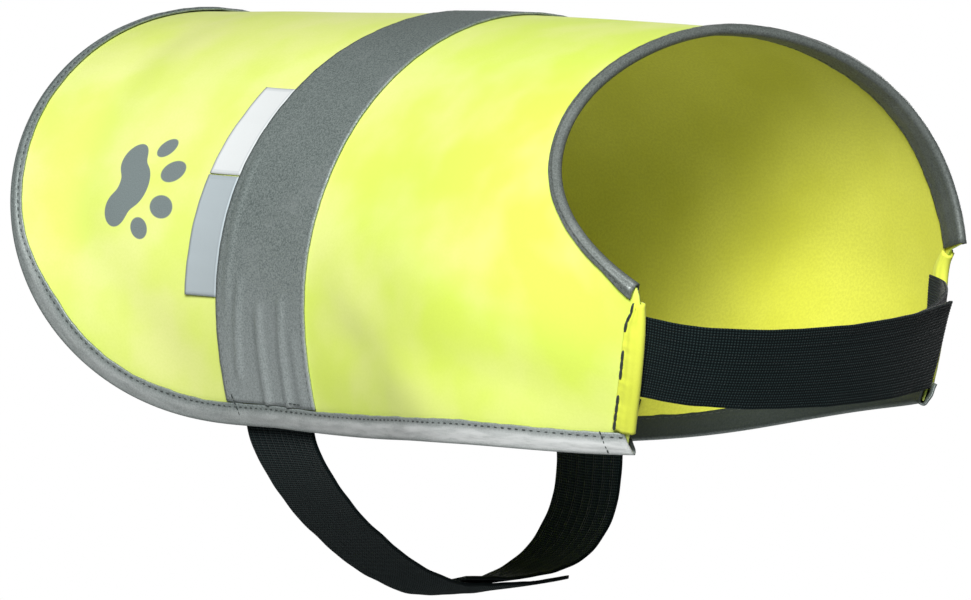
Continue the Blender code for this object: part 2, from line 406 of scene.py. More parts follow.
@dataclass(frozen=True)
class Walls:
    """Cloth thicknesses, the gap between two cloths that touch, and how far a folded strip puffs up."""

    panel: float = 0.0012
    trim: float = 0.0010
    strap: float = 0.0016
    gap: float = 0.0004
    puffed: float = 0.0003

    @property
    def on_panel(self) -> float:
        """From the panel's inner face to the inner face of a cloth that lies on it."""
        return self.panel + self.gap

    @property
    def trim_face(self) -> float:
        """From the panel's inner face to the outer face of a tape."""
        return self.on_panel + self.trim

    @property
    def puffed_face(self) -> float:
        """The same for a strip that puffs up."""
        return self.trim_face + self.puffed

    @property
    def fold_middle(self) -> float:
        """From the panel's middle to the middle of a strip folded over its edge."""
        return self.panel / 2 + self.gap + self.trim / 2

    @property
    def strap_inside(self) -> float:
        """From the panel's inner face to the middle of a strap sewn on inside an edge's trim."""
        return -(self.gap + self.trim + self.gap + self.strap / 2)

    @property
    def strap_outside(self) -> float:
        """From the panel's inner face to the middle of a strap that passes outside an edge's trim."""
        return self.trim_face + self.gap + self.strap / 2


WALLS = Walls()
CUT = SaddleCut()
FOLDS = (
    # pulls from the chest strap back over the right front, and soft dents beside them
    Fold((0.170, -0.168), (0.075, -0.150), 0.0150, 0.0012),
    Fold((0.150, -0.192), (0.060, -0.184), 0.0110, -0.0009),
    Fold((0.100, -0.205), (0.055, -0.165), 0.0120, 0.0010),
    Fold((0.060, -0.120), (0.130, -0.105), 0.0200, -0.0008),
    # the tail's flare, a long soft hollow inside its edge
    Fold((-0.130, -0.060), (-0.110, -0.150), 0.0140, -0.0012),
    Fold((-0.110, -0.150), (-0.060, -0.190), 0.0140, -0.0010),
    Fold((-0.100, -0.030), (-0.045, -0.060), 0.0180, 0.0010),
    # the left side, a little quieter
    Fold((0.150, 0.170), (0.060, 0.150), 0.0150, 0.0012),
    Fold((0.110, 0.195), (0.050, 0.170), 0.0110, -0.0009),
    Fold((-0.130, 0.070), (-0.100, 0.155), 0.0150, -0.0012),
    Fold((-0.060, 0.060), (-0.080, 0.130), 0.0200, 0.0009),
)
FORM = WornForm(folds=FOLDS)


# Shader sheets


class Value:
    """A socket of a material, used in Python expressions; each operation adds one Math node."""

    def __init__(self, sheet: "FinishSheet", socket: bpy.types.NodeSocket) -> None:
        """Keeps the sheet and the socket."""
        self.sheet = sheet
        self.socket = socket

    def __add__(self, other: "Value | float") -> "Value":
        """Sum."""
        return self.sheet.math("ADD", self, other)

    __radd__ = __add__

    def __sub__(self, other: "Value | float") -> "Value":
        """Difference."""
        return self.sheet.math("SUBTRACT", self, other)

    def __rsub__(self, other: "Value | float") -> "Value":
        """Difference from a number."""
        return self.sheet.math("SUBTRACT", other, self)

    def __mul__(self, other: "Value | float") -> "Value":
        """Product."""
        return self.sheet.math("MULTIPLY", self, other)

    __rmul__ = __mul__

    def __pow__(self, other: float) -> "Value":
        """Power."""
        return self.sheet.math("POWER", self, other)

    def wave(self) -> "Value":
        """The sine of this value."""
        return self.sheet.math("SINE", self)

    def threads(self, pitch: float) -> "Value":
        """A wave from 0 to 1 and back, once every pitch metres."""
        return (self * (2 * math.pi / pitch)).wave() * 0.5 + 0.5

    def size(self) -> "Value":
        """The value without its sign."""
        return self.sheet.math("ABSOLUTE", self)

    def most(self, other: "Value | float") -> "Value":
        """The larger of two values."""
        return self.sheet.math("MAXIMUM", self, other)

    def ramp(self, low: float, high: float, at_low: float = 0.0, at_high: float = 1.0) -> "Value":
        """A smooth step from at_low to at_high as this value goes from low to high."""
        return self.sheet.value(
            "ShaderNodeMapRange",
            {"interpolation_type": "SMOOTHSTEP", "clamp": True},
            {"Value": self, "From Min": low, "From Max": high, "To Min": at_low, "To Max": at_high},
        )


Given = Value | float | tuple[float, ...]


class FinishSheet:
    """The node sheet of one material; every node in it comes from node()."""

    def __init__(self, name: str) -> None:
        """Makes the material and finds its shader."""
        self.material = bpy.data.materials.new(name)
        self.material.use_nodes = True
        self.tree = self.material.node_tree
        self.shader = self.tree.nodes["Principled BSDF"]

    def fill(self, socket: bpy.types.NodeSocket, given: Given) -> None:
        """Links a Value to a socket, or sets the socket to a number, a vector or a colour."""
        if isinstance(given, Value):
            self.tree.links.new(given.socket, socket)
        else:
            socket.default_value = (*given, 1.0) if socket.type == "RGBA" else given

    def node(self, kind: str, settings: dict | None = None, sockets: dict | None = None) -> bpy.types.Node:
        """Makes a node, gives it its settings, and then fills its sockets.

        Args:
            kind: The node's type.
            settings: Properties of the node, such as a Math node's operation.
            sockets: Input names or numbers, each with what fills it.

        Returns:
            The node.
        """
        made = self.tree.nodes.new(kind)
        for name, setting in (settings or {}).items():
            setattr(made, name, setting)
        for name, given in (sockets or {}).items():
            self.fill(made.inputs[name], given)
        return made

    def value(
        self, kind: str, settings: dict | None = None, sockets: dict | None = None, out: int | str = 0
    ) -> Value:
        """Makes a node and gives one of its outputs as a Value."""
        return Value(self, self.node(kind, settings, sockets).outputs[out])

    def math(self, operation: str, *values: Value | float) -> Value:
        """One Math node on values and numbers."""
        return self.value("ShaderNodeMath", {"operation": operation}, dict(enumerate(values)))

    def mix(self, factor: Value | float, first: Value | Colour, second: Value | Colour) -> Value:
        """A colour between two: the first at factor 0, the second at 1."""
        return self.value("ShaderNodeMix", {"data_type": "RGBA"}, {0: factor, 6: first, 7: second}, out=2)

    def object_place(self) -> Value:
        """The point's place in the part's frame."""
        return self.value("ShaderNodeTexCoord", out="Object")

    def flat_place(self) -> Value:
        """The point's place on the flat cut, from the piece's own UV map, in metres."""
        return self.value("ShaderNodeUVMap", {"uv_map": PATTERN_MAP})

    def flat_axes(self) -> tuple[Value, Value]:
        """The two numbers of flat_place() by themselves."""
        parts = self.node("ShaderNodeSeparateXYZ", sockets={0: self.flat_place()})
        return Value(self, parts.outputs[0]), Value(self, parts.outputs[1])

    def noise(self, place: Value, scale: float, detail: float = 2.0, roughness: float = 0.5) -> Value:
        """Soft noise from 0 to 1 with features about 1 / scale metres wide."""
        sockets = {"Vector": place, "Scale": scale, "Detail": detail, "Roughness": roughness}
        return self.value("ShaderNodeTexNoise", None, sockets)

    def oval(self, place: Value, oval: "Oval") -> Value:
        """1 at the edge of an oval, less inside: the length of the place moved, turned and scaled to it.

        Args:
            place: Flat places.
            oval: The oval.

        Returns:
            The place's distance from the oval's centre, in half lengths.
        """
        sockets = {
            "Vector": place,
            "Location": (*oval.centre, 0.0),
            "Rotation": (0.0, 0.0, math.radians(oval.turn)),
            "Scale": (*oval.halves, 1.0),
        }
        moved = self.value("ShaderNodeMapping", {"vector_type": "TEXTURE"}, sockets)
        return self.value("ShaderNodeVectorMath", {"operation": "LENGTH"}, {0: moved}, out="Value")

    def bump(self, height: Value, distance: float, strength: float) -> Value:
        """A bumped normal from a height of 0 to 1 that stands for distance metres."""
        sockets = {"Height": height, "Distance": distance, "Strength": strength}
        return self.value("ShaderNodeBump", None, sockets)

    def finish(self, inputs: dict[str, Given]) -> Material:
        """Fills the shader's inputs, with Values where they vary and with numbers or colours elsewhere."""
        for name, given in inputs.items():
            self.fill(self.shader.inputs[name], given)
        return self.material


# Finishes


def shaded(colour: Colour, share: float) -> Colour:
    """A colour made darker or lighter, each of its parts by the same share."""
    return tuple(share * part for part in colour)


@dataclass(frozen=True)
class Oval:
    """An oval of a printed motif on the flat cut; its turn is in degrees."""

    centre: Pair
    halves: Pair
    turn: float


@dataclass(frozen=True)
class PawPrint:
    """An ordinary paw print in grey beads, walking forward: a heel pad of merged ovals and four toes."""

    heel: tuple[Oval, ...] = (
        Oval((-0.0832, -0.1318), (0.0078, 0.0092), 0.0),
        Oval((-0.0890, -0.1214), (0.0058, 0.0068), -30.0),
        Oval((-0.0890, -0.1422), (0.0058, 0.0068), 30.0),
    )
    toes: tuple[Oval, ...] = (
        Oval((-0.0738, -0.1152), (0.0052, 0.0037), 30.0),
        Oval((-0.0645, -0.1245), (0.0066, 0.0044), 12.0),
        Oval((-0.0645, -0.1388), (0.0066, 0.0044), -12.0),
        Oval((-0.0738, -0.1480), (0.0052, 0.0037), -30.0),
    )
    softness: float = 0.05
    bell: float = 1.77
    merged: float = 0.165

    def mask(self, sheet: FinishSheet, place: Value) -> Value:
        """1 on the print and 0 off it.

        A toe is a smooth step at its oval's edge. The heel's ovals fade outwards as bells, and the
        pad is where the bells add up to enough, so that it has one smooth outline.

        Args:
            sheet: The sheet to draw on.
            place: Flat places.

        Returns:
            The mask.
        """
        bells = [sheet.math("EXPONENT", sheet.oval(place, oval) ** 2.0 * -self.bell) for oval in self.heel]
        pad = sum(bells[1:], bells[0])
        whole = pad.ramp(self.merged * (1 - self.softness), self.merged * (1 + self.softness))
        for oval in self.toes:
            toe = sheet.oval(place, oval).ramp(1 - self.softness, 1 + self.softness, 1, 0)
            whole = whole.most(toe)
        return whole


@dataclass(frozen=True)
class HighVisCloth:
    """Matt fluorescent yellow woven cloth."""

    name: str
    # the paler yellow also serves as painted highlight towards the tail, and the deep one as painted shade
    # towards the front
    light: Colour = (0.915, 0.985, 0.335)
    deep: Colour = (0.785, 0.965, 0.125)
    beads: Colour = (0.215, 0.262, 0.262)
    # u span over which the yellow is painted deeper towards the front: painted shade, lighter at the tail
    # where the light falls
    painted_shade_span: Pair = (-0.06, 0.14)
    patches: float = 22.0
    thread: float = 0.00055
    relief: float = 0.00007
    grain: float = 0.10
    roughness: float = 0.62
    printed: bool = False

    def material(self) -> Material:
        """Two yellows mixed by slow noise and by a ramp to the deeper yellow towards the front, a fine plain
        weave in bump, and any print; the ramp is painted shade, and the slow noise is partly random tone and
        partly painted highlight.
        """
        sheet = FinishSheet(self.name)
        place = sheet.flat_place()
        along, across = sheet.flat_axes()
        # painted shade: the yellow deepens towards the front and stays lighter at the tail; the slow noise is
        # partly random tone and partly painted highlight
        painted_forward_shade = along.ramp(*self.painted_shade_span)
        slow = sheet.noise(place, self.patches, 3.0).ramp(0.32, 0.68)
        colour = sheet.mix(slow * 0.70 + painted_forward_shade * 0.40, self.light, self.deep)
        turn = 2 * math.pi / self.thread
        weave = (along * turn).wave() * (across * turn).wave() * 0.5 + 0.5
        fibre = sheet.noise(sheet.object_place(), 2600.0)
        grain = sheet.noise(place, 850.0, 2.0, 0.7).ramp(0.36, 0.64)
        colour = sheet.mix(grain * self.grain, colour, shaded(self.deep, 0.82))
        normal = sheet.bump(weave * 0.8 + fibre * 0.4, self.relief, 0.55)
        rough = fibre * 0.14 + self.roughness
        if self.printed:
            mask = PawPrint().mask(sheet, place)
            speck = sheet.noise(place, 2200.0, 2.0, 0.7).ramp(0.30, 0.72, 0.62, 1.30)
            grey = sheet.mix(speck * 0.5, shaded(self.beads, 0.62), shaded(self.beads, 1.35))
            colour = sheet.mix(mask, colour, grey)
            rough = rough - mask * 0.22
        return sheet.finish(
            {
                "Base Color": colour, "Roughness": rough, "Normal": normal,
                "Specular IOR Level": 0.25, "Sheen Weight": 0.12, "Sheen Roughness": 0.5,
            }
        )


@dataclass(frozen=True)
class BeadedCloth:
    """Grey reflective tape: a dense layer of glass beads that speckles and shines softly.

    A folded strip has its outer leaf where the second flat axis is below 0. Its outer leaf can
    have a painted silver highlight along a stretch of its length, and its inner leaf is painted dark as
    shade. A band is painted lighter towards its two feet, where the light falls on it.
    """

    name: str
    dull: Colour = (0.100, 0.132, 0.126)
    bright: Colour = (0.370, 0.425, 0.410)
    # the lighter grey painted in slow patches and on a band's feet, standing for sheen on the beads
    painted_sheen: Colour = (0.400, 0.440, 0.440)
    # colour of the painted highlight on a folded strip's outer leaf
    silver: Colour = (0.900, 0.930, 0.920)
    shade: Colour = (0.020, 0.028, 0.023)
    roughness: float = 0.50
    relief: float = 0.00014
    # strength, span, tail and crown of a painted highlight along the outer leaf
    painted_shine: float = 0.0
    shine_ends: Pair = (0.11, 0.22)
    tail_ends: Pair = (0.27, 0.40)
    crown: float = 0.0048
    crown_ends: Pair = (0.0012, 0.0044)
    fold_ends: Pair = (-0.0002, 0.0016)
    inner_shade: float = 0.0
    foot: float = 0.0
    # span over which a band's feet are painted lighter, where the light falls on them
    foot_light_ends: Pair = (0.130, 0.212)

    def material(self) -> Material:
        """Bead speckle of half a millimetre between two greys, painted lighter in slow patches as a sheen."""
        sheet = FinishSheet(self.name)
        place = sheet.object_place()
        speck = sheet.noise(place, 1500.0, 3.0, 0.8).ramp(0.34, 0.66)
        fine = sheet.noise(place, 4200.0, 1.0)
        patch = sheet.noise(place, 46.0, 3.0, 0.6).ramp(0.50, 0.78)
        colour = sheet.mix(speck * 0.75 + fine * 0.25, self.dull, self.bright)
        # painted sheen in slow patches
        colour = sheet.mix(patch * 0.30, colour, self.painted_sheen)
        rough = self.roughness - speck * 0.12 - patch * 0.06
        height = speck * 0.6 + fine * 0.4
        along, across = sheet.flat_axes()
        # painted light: a band's feet lighter than its top, where the light falls
        if self.foot:
            painted_light = across.size().ramp(*self.foot_light_ends) * (speck * 0.5 + 0.5)
            colour = sheet.mix(painted_light * self.foot, colour, shaded(self.painted_sheen, 1.3))
        if self.painted_shine or self.inner_shade:
            # painted highlight: a silver stretch along the outer leaf, brightest at its crown, in streaks
            stretch = {"Vector": sheet.flat_place(), "Scale": (0.20, 1.0, 1.0)}
            drawn = sheet.value("ShaderNodeMapping", {"vector_type": "POINT"}, stretch)
            streak = sheet.noise(drawn, 420.0, 3.0, 0.6).ramp(0.30, 0.62)
            lit = along.ramp(*self.shine_ends, 1.0, 0.40) * along.ramp(*self.tail_ends, 1.0, 0.0) * self.painted_shine
            middle = (across + self.crown).size().ramp(*self.crown_ends, 1.0, 0.18)
            colour = sheet.mix(lit * middle * (streak * 0.30 + 0.66), colour, self.silver)
            # painted shade on the folded strip's inner leaf
            inner_leaf_shade = across.ramp(*self.fold_ends) * self.inner_shade
            colour = sheet.mix(inner_leaf_shade, colour, self.shade)
            rough = rough + inner_leaf_shade * 0.4
            height = height * 0.5 + streak * 0.5
        normal = sheet.bump(height, self.relief, 0.7)
        return sheet.finish(
            {
                "Base Color": colour, "Roughness": rough, "Normal": normal,
                "Metallic": 0.30, "Specular IOR Level": 0.5,
            }
        )


@dataclass(frozen=True)
class RibbedElastic:
    """Near black, green-tinged woven elastic with ribs along it and picks across it."""

    name: str
    dark: Colour = (0.0014, 0.0040, 0.0046)
    # the lighter colour: painted highlight on the knot tops, and the tone of loose fibres
    painted_light: Colour = (0.0300, 0.0520, 0.0520)
    pitch: float = 0.0011
    relief: float = 0.00022
    roughness: float = 0.92

    def material(self) -> Material:
        """A grid of small knots: ribs times picks, painted lighter on top of each as a highlight, with loose
        fibre noise.
        """
        sheet = FinishSheet(self.name)
        along, across = sheet.flat_axes()
        knots = (along.threads(self.pitch) * across.threads(self.pitch)) ** 1.6
        fibre = sheet.noise(sheet.object_place(), 3000.0)
        slow = sheet.noise(sheet.object_place(), 60.0)
        # knot tops painted lighter as a highlight; the fibre and slow noise vary the tone at random
        colour = sheet.mix(knots * 0.85 + fibre * 0.12 + slow * 0.08 - 0.09, self.dark, self.painted_light)
        normal = sheet.bump(knots * 0.75 + fibre * 0.25, self.relief, 0.9)
        rough = self.roughness - knots * 0.22
        return sheet.finish(
            {
                "Base Color": colour, "Roughness": rough, "Normal": normal,
                "Specular IOR Level": 0.08, "Sheen Weight": 0.12, "Sheen Roughness": 0.35,
            }
        )


@dataclass(frozen=True)
class LabelCloth:
    """A blank satin label with a slightly darker woven border."""

    name: str
    ground: Colour
    border: Colour
    length: float
    width: float
    metallic: float = 0.0
    satin: float = 0.0006
    margins: Pair = (0.0014, 0.0016)
    rim: float = 0.0002
    relief: float = 0.00008
    roughness: float = 0.46

    def material(self) -> Material:
        """Fine satin lines over the ground, and a border by distance from the label's edges."""
        sheet = FinishSheet(self.name)
        along, across = sheet.flat_axes()
        satin = along.threads(self.satin)
        fibre = sheet.noise(sheet.object_place(), 2400.0)
        sides = zip((along, across), (self.width / 2, self.length / 2), self.margins)
        past_side, past_end = ((place - half).size() - (half - margin) for place, half, margin in sides)
        rim = past_side.most(past_end).ramp(-self.rim, self.rim)
        colour = sheet.mix(rim * 0.55 + fibre * 0.12 + satin * 0.08, self.ground, self.border)
        normal = sheet.bump(satin * 0.6 + fibre * 0.4 + rim * 0.5, self.relief, 0.5)
        rough = fibre * 0.12 + self.roughness + rim * 0.10
        return sheet.finish(
            {
                "Base Color": colour, "Roughness": rough, "Normal": normal,
                "Metallic": self.metallic, "Specular IOR Level": 0.4,
            }
        )


@dataclass(frozen=True)
class SewingThread:
    """Twisted sewing thread."""

    name: str
    colour: Colour
    twist: float = 5200.0
    relief: float = 0.00008

    def material(self) -> Material:
        """The thread's colour, darkened in the twist by fine noise."""
        sheet = FinishSheet(self.name)
        twist = sheet.noise(sheet.object_place(), self.twist)
        shade = sheet.mix(twist, shaded(self.colour, 0.55), self.colour)
        return sheet.finish(
            {
                "Base Color": shade, "Normal": sheet.bump(twist, self.relief, 0.6),
                "Roughness": 0.62, "Sheen Weight": 0.15,
            }
        )


class Finishes:
    """Every material of the vest, made once and shared by its pieces."""

    def __init__(self) -> None:
        """Makes the materials."""
        self.shell = HighVisCloth("hi_vis_cloth_printed", printed=True).material()
        self.turning = HighVisCloth("hi_vis_cloth", (0.870, 0.930, 0.110), (0.790, 0.880, 0.070)).material()
        # the inner face: the same cloth in a darker, duller yellow, as painted shade inside the vest; its
        # stronger grain is the weave
        self.painted_shade_underside = HighVisCloth(
            "hi_vis_underside", (0.840, 0.865, 0.115), (0.730, 0.755, 0.070), grain=0.36
        ).material()
        # the band's feet are painted lighter, as light
        self.tape = BeadedCloth("beaded_tape", foot=0.80).material()
        # hem tape: a painted silver highlight on its outer leaf and painted shade on its inner leaf
        self.hem_tape = BeadedCloth("beaded_hem_tape", painted_shine=1.0, inner_shade=0.95).material()
        # the neck's tape: the same beads in darker greys as painted shade, with painted shade at under half
        # strength on its inner leaf
        self.shaded_neck_tape = BeadedCloth(
            "beaded_neck_tape",
            dull=(0.085, 0.100, 0.092),
            bright=(0.240, 0.270, 0.255),
            painted_sheen=(0.320, 0.350, 0.335),
            inner_shade=0.45,
        ).material()
        self.elastic = RibbedElastic("ribbed_elastic").material()
        self.white = LabelCloth(
            "white_label", (0.80, 0.83, 0.83), (0.60, 0.64, 0.65), 0.0390, 0.0170
        ).material()
        self.silver = LabelCloth(
            "silver_label", (0.58, 0.66, 0.69), (0.47, 0.54, 0.57), 0.0462, 0.0170, metallic=0.25
        ).material()
        self.grey_thread = SewingThread("grey_thread", (0.050, 0.062, 0.058)).material()
        self.tape_thread = SewingThread("tape_thread", (0.150, 0.175, 0.168)).material()
        self.dark_thread = SewingThread("dark_thread", (0.020, 0.034, 0.030)).material()


# Meshes


def linked(name: str, data: bpy.types.ID) -> Piece:
    """A new object that holds the data, linked to the scene."""
    made = bpy.data.objects.new(name, data)
    bpy.context.scene.collection.objects.link(made)
    return made


def mesh_piece(name: str, points: np.ndarray, faces: list[list[int]], material: Material) -> Piece:
    """A smooth mesh with one material, as a new object.

    Args:
        name: The piece's name.
        points: An array of places, of any shape.
        faces: The numbers of each face's places.
        material: The piece's finish.

    Returns:
        The piece.
    """
    mesh = bpy.data.meshes.new(name)
    mesh.from_pydata(points.reshape(-1, 3).tolist(), [], faces)
    mesh.materials.append(material)
    mesh.shade_smooth()
    return linked(name, mesh)


def sheet_piece(
    name: str, points: np.ndarray, flat: np.ndarray, wall: float, offset: float, material: Material
) -> Piece:
    """A grid of points as a smooth sheet with a wall, and its flat places as a UV map in metres.

    Args:
        name: The piece's name.
        points: Rows by columns of places.
        flat: Rows by columns of flat places, for the finish.
        wall: The cloth's thickness.
        offset: 1 thickens outwards and 0 to both sides.
        material: The piece's finish.

    Returns:
        The piece.
    """
    rows, columns = points.shape[:2]
    index = np.arange(rows * columns).reshape(rows, columns)
    faces = np.stack([index[:-1, :-1], index[1:, :-1], index[1:, 1:], index[:-1, 1:]], -1).reshape(-1, 4)
    piece = mesh_piece(name, points, faces.tolist(), material)
    layer = piece.data.uv_layers.new(name=PATTERN_MAP)
    layer.data.foreach_set("uv", flat.reshape(-1, 2)[faces.reshape(-1)].astype(np.float32).reshape(-1))
    cloth = piece.modifiers.new("cloth", "SOLIDIFY")
    cloth.thickness = wall
    cloth.offset = offset
    cloth.use_even_offset = False
    return piece


def grid_normals(points: np.ndarray) -> np.ndarray:
    """Unit normals of a grid of points, from the cross product of its two directions."""
    along, across = np.gradient(points, axis=0), np.gradient(points, axis=1)
    normals = np.cross(along, across)
    return normals / np.linalg.norm(normals, axis=-1, keepdims=True)


def declare(piece: Piece, nodes: tuple[str, ...] = ()) -> Piece:
    """Rides a piece on the vest's body and the solids that it stands for.

    Args:
        piece: The piece.
        nodes: Solids that it replaces.

    Returns:
        The same piece.
    """
    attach(piece, BODY)
    if nodes:
        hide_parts(*nodes)
    return piece


def inward(path: np.ndarray, cloth_on: float) -> np.ndarray:
    """Unit flat directions square to a path, towards the cloth: its tangent turned by a right angle."""
    along = np.gradient(path, axis=0)
    along /= np.linalg.norm(along, axis=1, keepdims=True)
    return cloth_on * np.stack([-along[:, 1], along[:, 0]], -1)


def row_on_form(path: np.ndarray, out: float, pitch: float) -> tuple[np.ndarray, np.ndarray, np.ndarray]:
    """Centres and directions of a row of stitches that lies on the worn form.

    Args:
        path: Flat points of the row.
        out: Distance of the cloth's face from the panel's inner face, below 0 inside the vest.
        pitch: Distance between stitches.

    Returns:
        Centres, directions along the row and directions out of the cloth.
    """
    flat = evenly(path, pitch)
    spots = (flat[1:] + flat[:-1]) / 2
    ahead = (flat[1:] - flat[:-1]) / 4
    centres = FORM.place(*spots.T, out)
    along = FORM.place(*(spots + ahead).T, out) - FORM.place(*(spots - ahead).T, out)
    along /= np.linalg.norm(along, axis=1, keepdims=True)
    up = FORM.place(*spots.T, out + 0.001) - centres
    up -= (up * along).sum(1, keepdims=True) * along
    up /= np.linalg.norm(up, axis=1, keepdims=True)
    return centres, along, -up if out < 0 else up


@dataclass(frozen=True)
class Stitch:
    """One lockstitch of a row: a short bead of thread whose ends dip into the cloth."""

    length: float = 0.0023
    thickness: float = 0.00042
    pitch: float = 0.0030
    sides: int = 6
    dip: float = 0.55
    ring_places: tuple[float, ...] = (-0.5, -0.42, -0.18, 0.18, 0.42, 0.5)
    ring_sizes: tuple[float, ...] = (0.15, 0.75, 1.0, 1.0, 0.75, 0.15)
    sunk_below: float = -2.0
    sunk_period: float = 0.021
    sunk_phase: float = 1.1

    def bead(self) -> np.ndarray:
        """The bar of one stitch: rings along it, sinking by the cube of the way from its middle.

        Returns:
            Places along, beside and up from its middle.
        """
        at, size = np.array([self.ring_places, self.ring_sizes])
        turn = np.linspace(0, 2 * np.pi, self.sides, endpoint=False)
        beside = size[:, None] * np.cos(turn)
        up = size[:, None] * np.sin(turn) - self.dip * (2 * np.abs(at[:, None])) ** 3
        x = np.repeat(at, self.sides) * self.length
        return np.stack([x, beside.reshape(-1) * self.thickness / 2, up.reshape(-1) * self.thickness / 2], -1)

    def sew(self, name: str, path: np.ndarray, out: float, thread: Material, slot: str) -> Piece:
        """Sews a row along a flat path on the worn form, as one mesh.

        The bead is carried to each place by the place's own three directions. A stitch has sunk
        out of sight where an uneven wave along the row lies below sunk_below.

        Args:
            name: The piece's name.
            path: Flat points of the row.
            out: Distance of the cloth's face from the panel's inner face, below 0 inside the vest.
            thread: The thread.
            slot: Not used.

        Returns:
            The declared piece.
        """
        row = row_on_form(path, out, self.pitch)
        wave = wander(np.arange(len(row[0])) * self.pitch, self.sunk_period, self.sunk_phase)
        centres, along, up = (part[wave > self.sunk_below] for part in row)
        bead = self.bead()
        points = centres[:, None] + bead @ np.stack([along, np.cross(up, along), up], 1)
        index = np.arange(len(bead)).reshape(-1, self.sides)
        after = np.roll(index, -1, axis=1)
        band = np.stack([index[:-1], index[1:], after[1:], after[:-1]], -1).reshape(-1, 4)[:, ::-1]
        caps = np.stack([index[0], index[-1][::-1]])
        first = np.arange(len(centres))[:, None, None] * len(bead)
        faces = (band + first).reshape(-1, 4).tolist() + (caps + first).reshape(-1, self.sides).tolist()
        return declare(mesh_piece(name, points, faces, thread))


# Sub-assemblies


@dataclass
class BackPanel:
    """The yellow saddle: one thin shell with the folds of the worn cloth."""

    rows: int = 120
    scoop_columns: int = 70
    front_columns: int = 40

    def build(self, finishes: Finishes) -> list[Piece]:
        """Makes the shell on the worn form, from the whole cut's grid.

        The cut's area is half the sum of the cross products of its cells' diagonals.

        Args:
            finishes: The vest's materials.

        Returns:
            The pieces made.
        """
        flat = CUT.grid(self.rows, self.scoop_columns, self.front_columns)
        u, v = np.moveaxis(flat, -1, 0)
        shell = sheet_piece("back_panel_cloth", FORM.place(u, v, 0.0), flat, WALLS.panel, 1.0, finishes.shell)
        # the inner face takes the darker yellow, painted shade inside the vest
        shell.data.materials.append(finishes.painted_shade_underside)
        shell.modifiers["cloth"].material_offset = 1
        declare(shell, ("back_panel",))
        one, other = flat[1:, 1:] - flat[:-1, :-1], flat[:-1, 1:] - flat[1:, :-1]
        area = abs(float((one[..., 0] * other[..., 1] - one[..., 1] * other[..., 0]).sum() / 2))
        return [shell]


@dataclass
class FoldedStrip:
    """A strip folded over an edge of the panel and sewn through: two leaves and a round fold.

    The edge is a flat path, with the cloth to its left where cloth_on is 1 and to its right where
    it is -1. The widths are those of the outer and the inner leaf at each point of the path.
    """

    path: np.ndarray
    cloth_on: float
    widths: tuple[np.ndarray, np.ndarray]
    phase: float
    wall: float = 0.0008
    puff: float = 0.00040
    pucker: float = 0.00016
    pucker_period: float = 0.0105
    slack: float = 0.00035
    slack_period: float = 0.045
    uneven: tuple[Pair, Pair] = ((0.035, 0.060), (0.020, 0.013))
    sewn_at: float = 0.0014
    leaf_steps: int = 12
    fold_steps: int = 8

    def inside(self, distance: np.ndarray) -> np.ndarray:
        """Flat points at a distance from the edge, towards the cloth."""
        return self.path + distance[..., None] * inward(self.path, self.cloth_on)

    def surface(self) -> tuple[np.ndarray, np.ndarray]:
        """The strip along its edge, puckered at the seam and a little uneven in width.

        Across it a leaf runs straight in from the fold, which is a half circle, and swells by a
        squared sine between the fold and the seam. Slow and quick waves along it do the rest.

        Returns:
            The grid of places, and the grid of flat places along the strip and across it from its fold.
        """
        half = WALLS.fold_middle
        at = distances(self.path)[:, None]
        (slow, long), (quick, short) = self.uneven
        uneven = 1 + slow * wander(at, long, self.phase) + quick * wander(at, short, self.phase + 1)
        share = np.linspace(1, 0, self.leaf_steps + 1)[:-1]
        leaves = [width[:, None] * uneven for width in self.widths]
        turn = np.linspace(0, np.pi, self.fold_steps + 1)
        fold = np.broadcast_to(half * np.sin(turn), (len(at), len(turn)))
        past = np.concatenate([-leaves[0] * share, fold, -leaves[1] * share[::-1]], axis=1)
        swells = [
            self.puff * np.sin(np.pi * np.clip(1 - share * leaf / (leaf - self.sewn_at), 0, 1)) ** 2
            + np.abs(self.pucker * wander(at, self.pucker_period, self.phase + 2)) * (0.3 + share)
            + self.slack * np.abs(wander(at, self.slack_period, self.phase + 3)) * np.sin(np.pi * share)
            for leaf in leaves
        ]
        round_part = np.broadcast_to(half * np.cos(turn), fold.shape)
        out = np.concatenate([half + swells[0], round_part, -(half + swells[1][:, ::-1])], axis=1)
        flat = self.path[:, None] - past[..., None] * inward(self.path, self.cloth_on)[:, None]
        points = FORM.place(flat[..., 0], flat[..., 1], WALLS.panel / 2 + out)
        steps = np.hypot(np.diff(past, axis=1), np.diff(out, axis=1))
        way = np.concatenate([np.zeros_like(at), np.cumsum(steps, axis=1)], axis=1)
        top = way[:, [self.leaf_steps + self.fold_steps // 2]]
        return points, np.stack(np.broadcast_arrays(at, way - top), -1)

    def piece(self, names: tuple[str, str], slot: str, finish: Material) -> tuple[Piece, Pair]:
        """The strip as a declared piece.

        Args:
            names: Name of the piece, and of the solid that it stands for.
            slot: Not used.
            finish: The piece's finish.

        Returns:
            The piece, and its flat width and length.
        """
        points, flat = self.surface()
        strip = declare(sheet_piece(names[0], points, flat, self.wall, 0.0, finish), names[1:])
        return strip, (float((flat[:, -1, 1] - flat[:, 0, 1]).mean()), float(flat[..., 0].max()))


